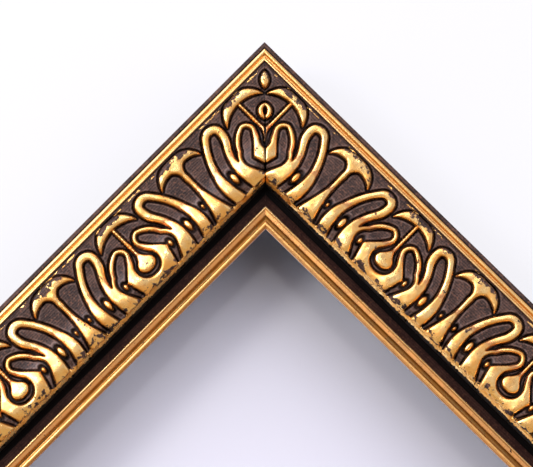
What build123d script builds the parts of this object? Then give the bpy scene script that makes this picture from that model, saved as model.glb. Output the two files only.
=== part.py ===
from build123d import *
import os
from math import asin, degrees, sqrt

# An ornate gilded picture frame, in millimetres, standing upright as it hangs on a wall.
# +X is right, +Z is up and the front faces -Y. The wall is the plane y = 0, and the origin lies on it,
# midway between the two wall hooks. Each rail is drawn in its own directions: along the rail,
# across it from the outer edge inwards, and up from its back face to its front.

# Picture and the rebate that holds it
PICTURE_WIDTH = 210.0
PICTURE_HEIGHT = 297.0
PICTURE_CLEARANCE = 2.0
REBATE_DEPTH = 9.5
SIGHT_LIP = 5.0

# Outer edge of the rail: a small dark round, a gilt bead, a cove, a fillet and a groove
EDGE_HEIGHT = 23.5
EDGE_ROUND = 1.0
EDGE_LEDGE = 0.9
BEAD_WIDTH = 2.5
COVE_WIDTH = 1.4
COVE_RISE = 0.35
FILLET_WIDTH = 0.6
GROOVE_WIDTH = 1.1
GROOVE_DEPTH = 0.6

# Frieze: a flat field that swells into a bulge and rolls over to the inner edge
FIELD_WIDTH = 23.0
FIELD_HEIGHT = 23.0
RISE_WIDTH = 11.5
CREST_RISE = 3.0
ROLL_RADIUS = 9.5

# Slip: the inner moulding, seated in a rebate behind the rail
SEAT_HEIGHT = 12.0
SLIP_TONGUE = 5.5
SLIP_CLEARANCE = 0.2
SLIP_GROOVE = 3.3
SLIP_STEP = 2.5
SLIP_FLAT = 4.1
LINE_WIDTH = 0.9
LINE_RISE = 0.6
SLOPE_WIDTH = 1.9
SLOPE_DROP = 0.9
DIP_WIDTH = 1.6
DIP_DEPTH = 0.7
SIGHT_BEAD = 2.5
SIGHT_ROUND = 1.2

# Applied ornament. Motif points are (from the motif's axis, from the motif's start near the field's border),
# drawn for a motif of MOTIF_DEPTH that repeats every MOTIF_PITCH. Ribs add their half width at each point.
RELIEF = 2.2
ORNAMENT_MARGIN = 1.0
MOTIF_INSET = 0.8
MOTIF_DEPTH = 43.0
MOTIF_PITCH = 92.0
CORNER_AXIS = 23.9
CRESCENT_CROWN = ((12.8, 9.6), (10.9, 4.7), (6.9, 0.9), (3.4, 0.25), (0.0, 0.2))
CRESCENT_HOLLOW = 5.0
FAN_CROWN = ((13.8, 9.2), (11.6, 4.2), (7.2, 0.9), (3.5, 0.25), (0.0, 0.2))
FAN_ARM = (8.5, 6.4)
FAN_STEM = ((4.6, 6.1), (2.3, 8.0), (1.5, 12.5), (1.27, 20.0), (1.9, 26.0), (3.8, 35.0), (7.2, 44.0))
DROP_GAP = 0.3
DROP_STEM = 0.75
DROP_NECK = 21.0
DROP_SIDE = ((1.4, 24.0), (3.4, 26.8), (4.9, 28.9), (4.9, 31.0), (3.0, 32.8))
DROP_FOOT = 33.3
LARGE_LOOP = (
    (32.3, 44.1, 3.0),
    (35.4, 34.0, 3.0),
    (34.6, 24.0, 2.1),
    (31.0, 14.2, 1.7),
    (25.8, 6.4, 1.8),
    (21.3, 4.2, 2.1),
    (17.5, 6.3, 2.1),
    (17.4, 10.6, 2.1),
    (19.7, 15.9, 1.9),
    (22.5, 21.1, 1.8),
    (23.8, 26.0, 2.1),
    (22.4, 34.6, 3.8),
    (18.4, 44.1, 5.0),
)
SMALL_LOOP = (
    (21.6, 31.4, 2.0),
    (20.6, 27.2, 1.1),
    (17.4, 22.7, 1.05),
    (11.6, 16.0, 1.15),
    (7.6, 14.2, 1.05),
    (4.2, 16.6, 1.05),
    (4.5, 20.6, 1.2),
    (6.6, 24.0, 1.5),
    (9.6, 28.0, 1.6),
)
CUP_RIM = ((4.8, 23.3), (6.5, 26.4), (7.3, 30.2), (5.6, 34.4), (0.0, 36.6))
CUP_SIDE = ((7.2, 22.8), (10.4, 26.0), (14.3, 30.0), (12.9, 35.0), (10.4, 44.0))

# Corner bosses on the mitre, placed by their distance from both rails' motif starts
EYE_PLACE = 16.9
EYE_LENGTH = 8.3
EYE_WIDTH = 7.0
EYE_SLIT_LENGTH = 5.4
EYE_SLIT_WIDTH = 2.1
BUD_PLACE = 5.5
BUD_LENGTH = 8.9
BUD_WIDTH = 4.6
BUD_TAPER = 35.0

# V-nails, driven into the mitres from behind
V_NAIL_LEG = 5.5
V_NAIL_THICKNESS = 0.6
V_NAIL_DEPTH = 10.0
V_NAIL_SPACING = 13.0

# Wood screws
SCREW_SHANK_RADIUS = 1.6
SCREW_DEPTH = 9.0
SCREW_HEAD_RADIUS = 2.9
SCREW_HEAD_HEIGHT = 1.8
SCREW_HEAD_BEVEL = 1.0

# Turn buttons, which hold the picture in
BUTTON_THICKNESS = 1.4
BUTTON_RADIUS = 4.6
BUTTON_TIP_RADIUS = 3.0
BUTTON_SETBACK = 2.0
BUTTON_PIVOT_FROM_LIP = 7.6
BUTTON_GAP = 0.1
BUTTON_FIT = 0.1
BUTTON_SPACING = 150.0

# Hangers: a strap with a rolled barrel, and a D-ring that swings in it
HANG_DROP = 110.0
STRAP_THICKNESS = 1.2
STRAP_WIDTH = 14.0
STRAP_LENGTH = 27.0
STRAP_HOLE_GAP = 0.2
BARREL_LENGTH = 10.0
RING_WIRE = 2.7
RING_FIT = 0.1
RING_WIDTH = 18.0
RING_CORNER = 3.0

# Bumpers, which keep the lower edge clear of the wall
STANDOFF = 5.5
BUMPER_RADIUS = 6.0
BUMPER_TAPER = 12.0
BUMPER_FROM_CORNER = 75.0

# Sizes that follow from those above
edge_width = EDGE_ROUND + EDGE_LEDGE + BEAD_WIDTH + COVE_WIDTH + FILLET_WIDTH + GROOVE_WIDTH
field_end = edge_width + FIELD_WIDTH
crest = field_end + RISE_WIDTH
crest_height = FIELD_HEIGHT + CREST_RISE
rise_radius = (RISE_WIDTH**2 + CREST_RISE**2) / (2 * CREST_RISE)
rail_width = crest + ROLL_RADIUS
seat_wall = rail_width - SLIP_TONGUE
slip_flat_start = rail_width + SLIP_GROOVE
slip_flat_end = slip_flat_start + SLIP_FLAT
slip_flat_height = SEAT_HEIGHT + SLIP_STEP
line_end = slip_flat_end + LINE_WIDTH
slope_end = line_end + SLOPE_WIDTH
dip_end = slope_end + DIP_WIDTH
dip_height = slip_flat_height - SLOPE_DROP - DIP_DEPTH
bead_end = dip_end + SIGHT_BEAD
face_width = bead_end + SIGHT_ROUND
rebate_wall = face_width - SIGHT_LIP

outer_width = PICTURE_WIDTH + 2 * (PICTURE_CLEARANCE + rebate_wall)
outer_height = PICTURE_HEIGHT + 2 * (PICTURE_CLEARANCE + rebate_wall)
top_z = HANG_DROP
middle_z = HANG_DROP - outer_height / 2
bottom_z = HANG_DROP - outer_height
back_y = -STANDOFF
rail_middle = seat_wall / 2
above_front = max(EDGE_HEIGHT + BEAD_WIDTH, crest_height + RELIEF, slip_flat_height + LINE_RISE) + RELIEF

ornament_end = rail_width - ORNAMENT_MARGIN
motif_start = edge_width + MOTIF_INSET
motif_scale = (ornament_end - edge_width) / MOTIF_DEPTH
corner_axis = motif_start + CORNER_AXIS * motif_scale
button_pivot = rebate_wall - BUTTON_PIVOT_FROM_LIP
button_reach = face_width - BUTTON_SETBACK - button_pivot - BUTTON_TIP_RADIUS
wire_radius = RING_WIRE / 2
barrel_bore = wire_radius + RING_FIT
barrel_radius = barrel_bore + STRAP_THICKNESS
ring_drop = RING_CORNER + RING_WIDTH / 2
barrel_z = -(ring_drop - wire_radius)
strap_screws = ((barrel_radius + ring_drop - wire_radius) / 2, STRAP_LENGTH - STRAP_WIDTH / 2)

# Each side's own directions, with its origin in the middle of the outer edge on the back face
SIDES = {
    "top": (Plane((0, back_y, top_z), x_dir=(-1, 0, 0), z_dir=(0, -1, 0)), outer_width),
    "bottom": (Plane((0, back_y, bottom_z), x_dir=(1, 0, 0), z_dir=(0, -1, 0)), outer_width),
    "left": (Plane((-outer_width / 2, back_y, middle_z), x_dir=(0, 0, -1), z_dir=(0, -1, 0)), outer_height),
    "right": (Plane((outer_width / 2, back_y, middle_z), x_dir=(0, 0, 1), z_dir=(0, -1, 0)), outer_height),
}

# Each corner's own directions, with its origin at the outer corner and both axes along the outer edges
CORNERS = {
    "top_left": Plane((-outer_width / 2, back_y, top_z), x_dir=(0, 0, -1), z_dir=(0, -1, 0)),
    "top_right": Plane((outer_width / 2, back_y, top_z), x_dir=(-1, 0, 0), z_dir=(0, -1, 0)),
    "bottom_right": Plane((outer_width / 2, back_y, bottom_z), x_dir=(0, 0, 1), z_dir=(0, -1, 0)),
    "bottom_left": Plane((-outer_width / 2, back_y, bottom_z), x_dir=(1, 0, 0), z_dir=(0, -1, 0)),
}


def save(name, *shapes):
    """Writes one node, as one solid or as a group of separate ones."""
    solids = [solid for shape in shapes for solid in shape.solids()]
    export_step(solids[0] if len(solids) == 1 else Compound(children=solids), f"parts/{name}.step")


def frieze_line(offset, end):
    """The frieze's section, raised square to its surface by offset, to that share of the roll's radius."""
    rise_centre = (crest, crest_height - rise_radius)
    crease = crest - sqrt((rise_radius + offset) ** 2 - (rise_radius - CREST_RISE + offset) ** 2)
    rise_angle = Vector(crease - crest, rise_radius - CREST_RISE + offset).get_angle(Vector(0, 1))
    roll_centre = (crest, crest_height - ROLL_RADIUS)
    roll = ROLL_RADIUS + offset
    roll_angle = degrees(asin(end * ROLL_RADIUS / roll))
    flat = Line((edge_width, FIELD_HEIGHT + offset), (crease, FIELD_HEIGHT + offset))
    rise = CenterArc(rise_centre, rise_radius + offset, 90 + rise_angle, -rise_angle)
    return [flat, rise, CenterArc(roll_centre, roll, 90, -roll_angle)]


def rail_section():
    """The rail's closed section: across from the outer edge, up from the back."""
    ledge = EDGE_ROUND + EDGE_LEDGE
    cove = ledge + BEAD_WIDTH
    fillet = cove + COVE_WIDTH
    groove = fillet + FILLET_WIDTH
    fillet_height = EDGE_HEIGHT + COVE_RISE
    groove_height = FIELD_HEIGHT - GROOVE_DEPTH
    bead_top = (ledge + BEAD_WIDTH / 2, EDGE_HEIGHT + BEAD_WIDTH / 2)
    cove_bottom = (cove + COVE_WIDTH / 2, EDGE_HEIGHT - COVE_RISE)
    edges = [
        Line((0, 0), (0, EDGE_HEIGHT - EDGE_ROUND)),
        RadiusArc((0, EDGE_HEIGHT - EDGE_ROUND), (EDGE_ROUND, EDGE_HEIGHT), EDGE_ROUND),
        Line((EDGE_ROUND, EDGE_HEIGHT), (ledge, EDGE_HEIGHT)),
        ThreePointArc((ledge, EDGE_HEIGHT), bead_top, (cove, EDGE_HEIGHT)),
        ThreePointArc((cove, EDGE_HEIGHT), cove_bottom, (fillet, fillet_height)),
        Polyline(
            (fillet, fillet_height),
            (groove, fillet_height),
            (groove, groove_height),
            (edge_width, groove_height),
            (edge_width, FIELD_HEIGHT),
        ),
        *frieze_line(0, 1),
        Polyline(
            (rail_width, crest_height - ROLL_RADIUS),
            (rail_width, SEAT_HEIGHT),
            (seat_wall, SEAT_HEIGHT),
            (seat_wall, 0),
            (0, 0),
        ),
    ]
    return make_face(edges)


def slip_section():
    """The slip's closed section, from its tongue behind the rail to the sight edge."""
    tongue = seat_wall + SLIP_CLEARANCE
    bead_top = (dip_end + SIGHT_BEAD / 2, dip_height + SIGHT_BEAD / 2)
    line_height = slip_flat_height + LINE_RISE
    edges = [
        Polyline(
            (tongue, 0),
            (tongue, SEAT_HEIGHT),
            (slip_flat_start, SEAT_HEIGHT),
            (slip_flat_start, slip_flat_height),
            (slip_flat_end, slip_flat_height),
        ),
        ThreePointArc(
            (slip_flat_end, slip_flat_height),
            (slip_flat_end + LINE_WIDTH / 2, line_height),
            (line_end, slip_flat_height),
        ),
        Line((line_end, slip_flat_height), (slope_end, slip_flat_height - SLOPE_DROP)),
        Polyline((slope_end, slip_flat_height - SLOPE_DROP), (slope_end, dip_height), (dip_end, dip_height)),
        ThreePointArc((dip_end, dip_height), bead_top, (bead_end, dip_height)),
        RadiusArc((bead_end, dip_height), (face_width, dip_height - SIGHT_ROUND), SIGHT_ROUND),
        Polyline(
            (face_width, dip_height - SIGHT_ROUND),
            (face_width, REBATE_DEPTH),
            (rebate_wall, REBATE_DEPTH),
            (rebate_wall, 0),
            (tongue, 0),
        ),
    ]
    return make_face(edges)


def mitred(section, length):
    """A moulding of that section along a side of that outer length, cut at 45 degrees at both ends."""
    bar = extrude(Plane.YZ * section, length / 2, both=True)
    half = length / 2
    sight = half - face_width
    plan = Polygon((-half, 0), (half, 0), (sight, face_width), (-sight, face_width), align=None)
    return bar & extrude(plan, above_front)


def scaled(points, stretch):
    """Motif points at the ornament's real size, counted from the outer edge of the rail."""
    return [(across * stretch, motif_start + down * motif_scale) for across, down in points]


def symmetric(*half_outline):
    """The face inside half an outline and its mirror image across the motif's axis."""
    half = Curve() + list(half_outline)
    return make_face((half + mirror(half, about=Plane.YZ)).edges())


def arc_chain(*points):
    """Arcs end to end through an odd number of points, three to an arc."""
    return [ThreePointArc(*points[first : first + 3]) for first in range(0, len(points) - 2, 2)]


def rib_face(stations, stretch):
    """A tapering rib along a smooth line, from (across, down, half width) at each station."""
    places = [(across, down) for across, down, _ in stations]
    middle = [Vector(*point) for point in scaled(places, stretch)]
    half_widths = [half_width * motif_scale for _, _, half_width in stations]
    line = Spline(*middle)
    left, right = [], []
    for point, half_width in zip(middle, half_widths):
        heading = line.tangent_at(line.param_at_point(point))
        square = Vector(-heading.Y, heading.X) * half_width
        left.append(point + square)
        right.append(point - square)
    ends = [Line(left[0], right[0]), Line(left[-1], right[-1])]
    return make_face([*arc_chain(*left), *arc_chain(*right), *ends])


def palmette_half(stretch):
    """One large and one small loop to the right of the palmette's axis, with the half cup that joins them."""
    rim = scaled(CUP_RIM, stretch)
    side = scaled(CUP_SIDE, stretch)
    axis_foot = (0, side[-1][1])
    cup = make_face([
        *arc_chain(*rim),
        Polyline(rim[-1], axis_foot, side[-1]),
        *arc_chain(*side),
        Line(side[0], rim[0]),
    ])
    return rib_face(LARGE_LOOP, stretch) + rib_face(SMALL_LOOP, stretch) + cup


def crescent_face(stretch):
    crown = scaled(CRESCENT_CROWN, stretch)
    hollow, = scaled([(0, CRESCENT_HOLLOW)], stretch)
    far_tip = (-crown[0][0], crown[0][1])
    outer = [edge for arc in arc_chain(*crown) for edge in (arc, mirror(arc, about=Plane.YZ))]
    return make_face([*outer, ThreePointArc(crown[0], hollow, far_tip)])


def fan_face(stretch):
    """A crescent on a stem that flares into a trumpet at the rail's inner edge."""
    crown = scaled(FAN_CROWN, stretch)
    arm, = scaled([FAN_ARM], stretch)
    stem = scaled(FAN_STEM, stretch)
    under_arm = ThreePointArc(crown[0], arm, stem[0])
    foot = Line(stem[-1], (0, stem[-1][1]))
    return symmetric(*arc_chain(*crown), under_arm, *arc_chain(*stem), foot)


def drop_face(stretch):
    """A thin stem below the crescent, ending in a drop that lies in the cup."""
    stem_top = CRESCENT_HOLLOW + DROP_GAP
    top, neck, foot = scaled([(DROP_STEM, stem_top), (DROP_STEM, DROP_NECK), (0, DROP_FOOT)], stretch)
    side = scaled(DROP_SIDE, stretch)
    return symmetric(Polyline((0, top[1]), top, neck), *arc_chain(neck, *side, foot))


def applied(face):
    """Motif faces turned into applied ornament that lies on the frieze."""
    end = (ornament_end - crest) / ROLL_RADIUS
    lower = frieze_line(0, end)
    upper = frieze_line(RELIEF, end)
    ends = [Line(lower[0] @ 0, upper[0] @ 0), Line(lower[-1] @ 1, upper[-1] @ 1)]
    reach = face.bounding_box().max.X + RELIEF
    layer = extrude(Plane.YZ * make_face([*lower, *upper, *ends]), reach, both=True)
    return extrude(face, above_front) & layer


def in_corner(motif):
    """A motif on the last axis of a rail, cut along the mitre."""
    far = face_width - corner_axis
    plan = Polygon((-corner_axis, 0), (far, face_width), (-corner_axis, face_width), align=None)
    return motif - extrude(plan, above_front)


def motif_axes(length):
    """Where palmettes stand along a side: evenly from corner axis to corner axis."""
    span = length - 2 * corner_axis
    count = max(1, round(span / (MOTIF_PITCH * motif_scale)))
    return [span * (step / count - 0.5) for step in range(count + 1)]


def along(motif, places):
    return [Pos(place, 0, 0) * motif for place in places]


def at_ends(motif, axes):
    """A motif on the first axis of a rail and its mirror image on the last one, both cut along the mitres."""
    cut = in_corner(motif)
    return [Pos(axes[0], 0, 0) * cut, Pos(axes[-1], 0, 0) * mirror(cut, about=Plane.YZ)]


def vesica(length, width):
    """A pointed oval, pointing along X."""
    radius = (length**2 + width**2) / (4 * width)
    shift = radius - width / 2
    return Pos(0, shift) * Circle(radius) & Pos(0, -shift) * Circle(radius)


def on_mitre(outline, place, taper=0):
    """Sets an outline on the field, along the mitre and equally far from both edges, and raises it."""
    boss = extrude(outline.scale(motif_scale), RELIEF, taper=taper)
    from_edges = motif_start + place * motif_scale
    return Pos(from_edges, from_edges, FIELD_HEIGHT) * Rot(0, 0, 45) * boss


def corner_eye():
    return on_mitre(vesica(EYE_LENGTH, EYE_WIDTH) - vesica(EYE_SLIT_LENGTH, EYE_SLIT_WIDTH), EYE_PLACE)


def corner_bud():
    return on_mitre(vesica(BUD_LENGTH, BUD_WIDTH), BUD_PLACE, BUD_TAPER)


def corner_v_nails():
    """V-nails in a corner: each has one leg in each rail, square to each other."""
    leg, plate = V_NAIL_LEG, V_NAIL_THICKNESS
    plan = Polygon((0, 0), (leg, 0), (leg, plate), (plate, plate), (plate, leg), (0, leg), align=None)
    nail = extrude(plan, V_NAIL_DEPTH)
    slip_middle = (seat_wall + rebate_wall) / 2
    middles = [rail_middle - V_NAIL_SPACING, rail_middle, rail_middle + V_NAIL_SPACING, slip_middle]
    return [Pos(middle - leg / 2, middle - leg / 2, 0) * nail for middle in middles]


def wood_screw(plate):
    """A round-headed screw through a plate of that thickness, at the origin of the back face."""
    head = Pos(0, 0, -plate - SCREW_HEAD_HEIGHT / 2) * Cylinder(SCREW_HEAD_RADIUS, SCREW_HEAD_HEIGHT)
    head = chamfer(head.edges().group_by(Axis.Z)[0], SCREW_HEAD_BEVEL)
    length = plate + SCREW_DEPTH
    return head + Pos(0, 0, SCREW_DEPTH - length / 2) * Cylinder(SCREW_SHANK_RADIUS, length)


def turn_button():
    """A teardrop plate on its screw, its tip pointing inwards over the picture."""
    outline = make_hull((Circle(BUTTON_RADIUS) + Pos(0, button_reach) * Circle(BUTTON_TIP_RADIUS)).edges())
    plate = extrude(outline - Circle(SCREW_SHANK_RADIUS + BUTTON_FIT), BUTTON_THICKNESS)
    return Pos(0, 0, -BUTTON_GAP - BUTTON_THICKNESS) * plate


def hanger_strap():
    """A strap below a rolled barrel. X runs along the barrel, Y down the strap and Z towards the front."""
    end = STRAP_WIDTH / 2
    outline = Pos(0, (STRAP_LENGTH - end) / 2) * Rectangle(STRAP_WIDTH, STRAP_LENGTH - end)
    outline += Pos(0, STRAP_LENGTH - end) * Circle(end)
    hole = Circle(SCREW_SHANK_RADIUS + STRAP_HOLE_GAP)
    outline -= [Pos(0, place) * hole for place in strap_screws]
    strap = extrude(outline, -STRAP_THICKNESS)
    notch = (STRAP_WIDTH - BARREL_LENGTH) / 2
    shoulder = Box(notch, 2 * barrel_radius, 2 * STRAP_THICKNESS)
    strap -= [Pos(side * (STRAP_WIDTH - notch) / 2, 0, 0) * shoulder for side in (-1, 1)]
    roll = Pos(0, 0, -barrel_radius) * Rot(0, 90, 0)
    return strap + roll * Cylinder(barrel_radius, BARREL_LENGTH) - roll * Cylinder(barrel_bore, BARREL_LENGTH)


def d_ring():
    """A closed wire ring, hanging down the strap from the bar that turns in the barrel."""
    half = RING_WIDTH / 2
    bar = half - RING_CORNER
    path = Wire([
        Line((-bar, 0), (bar, 0)).edge(),
        RadiusArc((bar, 0), (half, RING_CORNER), -RING_CORNER).edge(),
        ThreePointArc((half, RING_CORNER), (0, ring_drop), (-half, RING_CORNER)).edge(),
        RadiusArc((-half, RING_CORNER), (-bar, 0), -RING_CORNER).edge(),
    ])
    section = Plane(path @ 0, z_dir=path % 0) * Circle(wire_radius)
    return Pos(0, 0, -barrel_radius) * sweep(section, path)


def bumper():
    return extrude(Circle(BUMPER_RADIUS), -STANDOFF, taper=BUMPER_TAPER)


os.makedirs("parts", exist_ok=True)

v_nails = {corner: [plane * nail for nail in corner_v_nails()] for corner, plane in CORNERS.items()}
all_v_nails = [nail for nails in v_nails.values() for nail in nails]

buttons = {f"turn_button_{side}": SIDES[side][0] * Pos(0, button_pivot, 0) for side in ("top", "bottom")}
for side in ("left", "right"):
    plane = SIDES[side][0]
    up = BUTTON_SPACING / 2 * plane.x_dir.Z
    buttons[f"turn_button_{side}_upper"] = plane * Pos(up, button_pivot, 0)
    buttons[f"turn_button_{side}_lower"] = plane * Pos(-up, button_pivot, 0)
button_screws = [place * wood_screw(2 * BUTTON_GAP + BUTTON_THICKNESS) for place in buttons.values()]

hanger_x = outer_width / 2 - rail_middle
hangers = {
    hand: Plane((place, back_y, barrel_z), x_dir=(-1, 0, 0), z_dir=(0, -1, 0))
    for hand, place in (("left", -hanger_x), ("right", hanger_x))
}
strap_screw = wood_screw(STRAP_THICKNESS)
screw_places = [Pos(0, place, 0) for place in strap_screws]
hanger_screws = [plane * place * strap_screw for plane in hangers.values() for place in screw_places]
screws = button_screws + hanger_screws

for side, (plane, length) in SIDES.items():
    save(f"{side}_rail", plane * mitred(rail_section(), length) - all_v_nails - screws)
    save(f"{side}_slip", plane * mitred(slip_section(), length) - all_v_nails - screws)
    axes = motif_axes(length)
    stretch = (axes[1] - axes[0]) / MOTIF_PITCH
    half_palmette = palmette_half(stretch)
    palmette = applied(half_palmette + mirror(half_palmette, about=Plane.YZ))
    crescent = applied(crescent_face(stretch))
    drop = applied(drop_face(stretch))
    middles = [(before + after) / 2 for before, after in zip(axes, axes[1:])]
    palmettes = at_ends(applied(half_palmette), axes) + along(palmette, axes[1:-1])
    drops = at_ends(drop, axes) + along(drop, axes[1:-1])
    crescents = at_ends(crescent, axes) + along(crescent, axes[1:-1])
    fans = along(applied(fan_face(stretch)), middles)
    save(f"{side}_palmettes", *(plane * shape for shape in palmettes))
    save(f"{side}_drops", *(plane * shape for shape in drops))
    save(f"{side}_crescents", *(plane * shape for shape in crescents))
    save(f"{side}_fans", *(plane * shape for shape in fans))

for corner, plane in CORNERS.items():
    save(f"corner_bosses_{corner}", plane * corner_eye(), plane * corner_bud())
    save(f"v_nails_{corner}", *v_nails[corner])

for name, place in buttons.items():
    save(name, place * turn_button())
save("button_screws", *button_screws)
for hand, plane in hangers.items():
    save(f"hanger_strap_{hand}", plane * hanger_strap())
    save(f"hanger_ring_{hand}", plane * d_ring())
save("hanger_screws", *hanger_screws)

bottom_plane, bottom_length = SIDES["bottom"]
bumper_place = bottom_length / 2 - BUMPER_FROM_CORNER
bumpers = along(Pos(0, rail_middle, 0) * bumper(), (-bumper_place, bumper_place))
save("bumpers", *(bottom_plane * shape for shape in bumpers))
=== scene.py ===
import bpy
import math
import numpy as np
from mathutils import Matrix, Vector
from mathutils.bvhtree import BVHTree
from mathutils.kdtree import KDTree


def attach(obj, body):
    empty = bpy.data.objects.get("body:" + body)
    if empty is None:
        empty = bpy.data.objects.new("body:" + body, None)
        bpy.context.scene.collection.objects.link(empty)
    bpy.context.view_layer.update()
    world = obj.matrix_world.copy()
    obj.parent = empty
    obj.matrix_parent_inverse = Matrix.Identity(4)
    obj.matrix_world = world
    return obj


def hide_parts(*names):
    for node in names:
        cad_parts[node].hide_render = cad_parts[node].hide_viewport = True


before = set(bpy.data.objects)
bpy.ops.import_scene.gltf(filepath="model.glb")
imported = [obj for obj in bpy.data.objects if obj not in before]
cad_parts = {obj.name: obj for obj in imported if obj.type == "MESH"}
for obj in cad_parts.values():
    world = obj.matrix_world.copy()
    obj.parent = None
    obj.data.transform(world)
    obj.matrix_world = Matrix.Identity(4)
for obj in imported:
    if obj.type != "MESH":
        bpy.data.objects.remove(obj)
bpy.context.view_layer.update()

# Sizes are in millimetres and turned into metres where meshes are made.
MM = 0.001

# The moulding's section: across from the outer edge, up from the back face, after the CAD model
EDGE_ROUND = 1.0
EDGE_LEDGE = 1.4
EDGE_HEIGHT = 23.5
EDGE_STOPS = (6.0, 12.0, 18.0)
NICK = ((0.25, 0.0), (0.1, 0.18), (0.0, 0.0))
BEAD_WIDTH = 2.3
BEAD_RISE = 0.75
COVE_WIDTH = 1.2
COVE_RISE = 0.35
COVE_SAG = 1.5 * COVE_RISE
FILLET_WIDTH = 0.9
FILLET_CROWN = 0.12
GROOVE_DEPTH = 0.4
BORDER = 7.5
FIELD_WIDTH = 23.0
FIELD_HEIGHT = 23.0
RISE_WIDTH = 11.5
CREST_RISE = 3.0
ROLL_RADIUS = 9.5
CREST = BORDER + FIELD_WIDTH + RISE_WIDTH
CREST_HEIGHT = FIELD_HEIGHT + CREST_RISE
RAIL_WIDTH = CREST + ROLL_RADIUS
SEAT_WALL = 46.0
SEAT_HEIGHT = 12.0
SLIP_TONGUE = 46.2
SLIP_FLAT = (54.8, 59.1)
SLIP_BEVEL = 0.2
SLIP_HEIGHT = 14.5
LINE_END = 60.0
LINE_RISE = 0.45
SLOPE_END = 62.2
SLOPE_DROP = 0.45
DIP_END = 64.1
DIP_SAG = 0.45
DIP_HEIGHT = 12.9
SIGHT_BEAD_END = 66.4
SIGHT_EDGE = 67.0
SIGHT_ROUND = 0.6
REBATE_WALL = 62.0
REBATE_DEPTH = 9.5
BACK_SINK = 0.05
SHARP_ANGLE = math.radians(38)

# The relief: a slab that carries the field, the bulge and the ornament
RELIEF = 2.2
RIB_EASE = 1.2
RIB_SWELL = 0.2
ORNAMENT_KINDS = ("palmettes", "drops", "crescents", "fans")
ORNAMENT_END = 50.5
CORNER_AXIS = 32.2
MOTIF_PITCH = 92.0
SLAB_FOOT = (21.3, 14.3)
SLAB_RIM = 0.2
ROLL_SPARE = 0.4
GROOVE_SINK = 1.0
GROOVE_EASE = 0.35
GROOVE_SIDE = (0.3, 1.2)
FOOT_START = 41.2
FOOT_EDGE = 1.3
FOOT_RISE = 0.9
FOOT_END = 44.5
SEAM_WIDTH = 0.4
SEAM_SINK = 1.0
SEAM_START = (22.0, 27.0)
SPOTS = ((29.1, 38.9, 1.4, 3.0), (16.1, 38.9, 0.95, 1.6), (41.2, 37.3, 0.6, 1.1))
CORNER_SPOTS = SPOTS[:1]
EYE = (25.2, 8.4, 7.2)
EYE_SLIT = (25.2, 5.0, 2.2)
BUD = (13.8, 8.9, 4.6)

# Unevenness of the relief: a seed, the size of its features and its height, then where it sets in
RIB_WAVES = (3, 7.0, 0.2)
RIB_RIPPLES = (5, 3.2, 0.1)
GROUND_WAVES = (11, 9.0, 0.14)
FOOT_TEETH = (17, 2.4, 0.7)
FOOT_WAVES = (19, 2.6, 0.2)
WAVES_START = (0.4, 2.0)
GROUND_START = (1.0, 3.0)
NOISE_TABLE = (97, 89)
NOISE_START = (31.7, 17.3)

# How finely the relief is worked out, small allowances, and marks for faces
TABLE_STEP = 0.05
LEAN_EASE = 5.0
CREASE_EASE = 3.0
CREASE_REACH = (2.0, 6.0)
RASTER_STEP = 0.22
PAST_MIDDLE = 3.0
PAST_CORNER = 1.0
ROW_STEP = 0.44
COLUMN_STEP = 0.45
SWEEP_STEP = 3.0
MITRE_GAP = 0.004
MITRE_SHARES = np.array([0.002, 0.005])
OUTLINE_SPLIT = 9
OUTLINE_DIGITS = 2
WALL_LEAN = 0.05
NEAR = 0.05
FOOT_PROBE = 0.1
RAY_START = 60.0
DOME_ROUNDS = 700
DOME_HOLD = 60
BLUR_REACH = 3
BLUR_WIDTH = 1.2
HIDDEN = -1
FINISHED, BARE = 0, 1

# Each side: the middle of its outer edge on the back face, its directions along and inwards, and its half
OUTER_X = 169.0
TOP_Z = 110.0
BOTTOM_Z = -315.0
BACK_Y = -5.5
MIDDLE_Z = (TOP_Z + BOTTOM_Z) / 2
SIDES = {
    "top": ((0, BACK_Y, TOP_Z), (-1, 0, 0), (0, 0, -1), OUTER_X),
    "bottom": ((0, BACK_Y, BOTTOM_Z), (1, 0, 0), (0, 0, 1), OUTER_X),
    "left": ((-OUTER_X, BACK_Y, MIDDLE_Z), (0, 0, -1), (1, 0, 0), TOP_Z - MIDDLE_Z),
    "right": ((OUTER_X, BACK_Y, MIDDLE_Z), (0, 0, 1), (-1, 0, 0), TOP_Z - MIDDLE_Z),
}
SHORT_SIDES = ("top", "bottom")
PATTERN_SHIFT = {"top": 0.0, "right": 517.0, "bottom": 1131.0, "left": 1749.0}

# Screw heads, in the CAD screws' places
HARDWARE = ("turn_button", "hanger", "button_screws", "v_nails")
SCREWS = ("button_screws", "hanger_screws")
HEAD_RADIUS = 2.9
HEAD_RIM = 0.7
HEAD_DOME = 1.1
HEAD_RINGS = 30
HEAD_SEGMENTS = 72
HEAD_SHARP = math.radians(35)
RECESS_ARM = 1.75
RECESS_TAPER = (0.6, RECESS_ARM)
RECESS_WALL = (0.32, 0.44)
RECESS_DEPTH = 0.9
SHANK_RADIUS = 1.6
AXIS_RADIUS = 0.02
FIRST_TURN = 0.7
NEXT_TURN = 1.9

# The stage: a backdrop behind the frame, a floor under it and a dark card close behind it. The gaps are in
# millimetres and the places in metres. SURROUND and FLOOR_PALES count in halves of the frame.
BACKDROP_GAP = 23.0
FLOOR_GAP = 0.4
CARD_GAP = 0.4
REACH = 14.0
BACKDROP_Y = (BACK_Y + BACKDROP_GAP) * MM
FLOOR_Z = (BOTTOM_Z - FLOOR_GAP) * MM
# Painted light: the backdrop glows white round the frame's outline, over its shadow
SURROUND = (0.75, 0.95, 0.0, 0.65)
FLOOR_PALES = (1.2, 9.0)


def tone(red, green, blue):
    """A colour given as it shows on screen, from 0 to 255, as the linear colour that shaders take."""
    shown = np.array([red, green, blue]) / 255
    linear = np.where(shown <= 0.04045, shown / 12.92, ((shown + 0.055) / 1.055) ** 2.4)
    return (*linear, 1.0)


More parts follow.
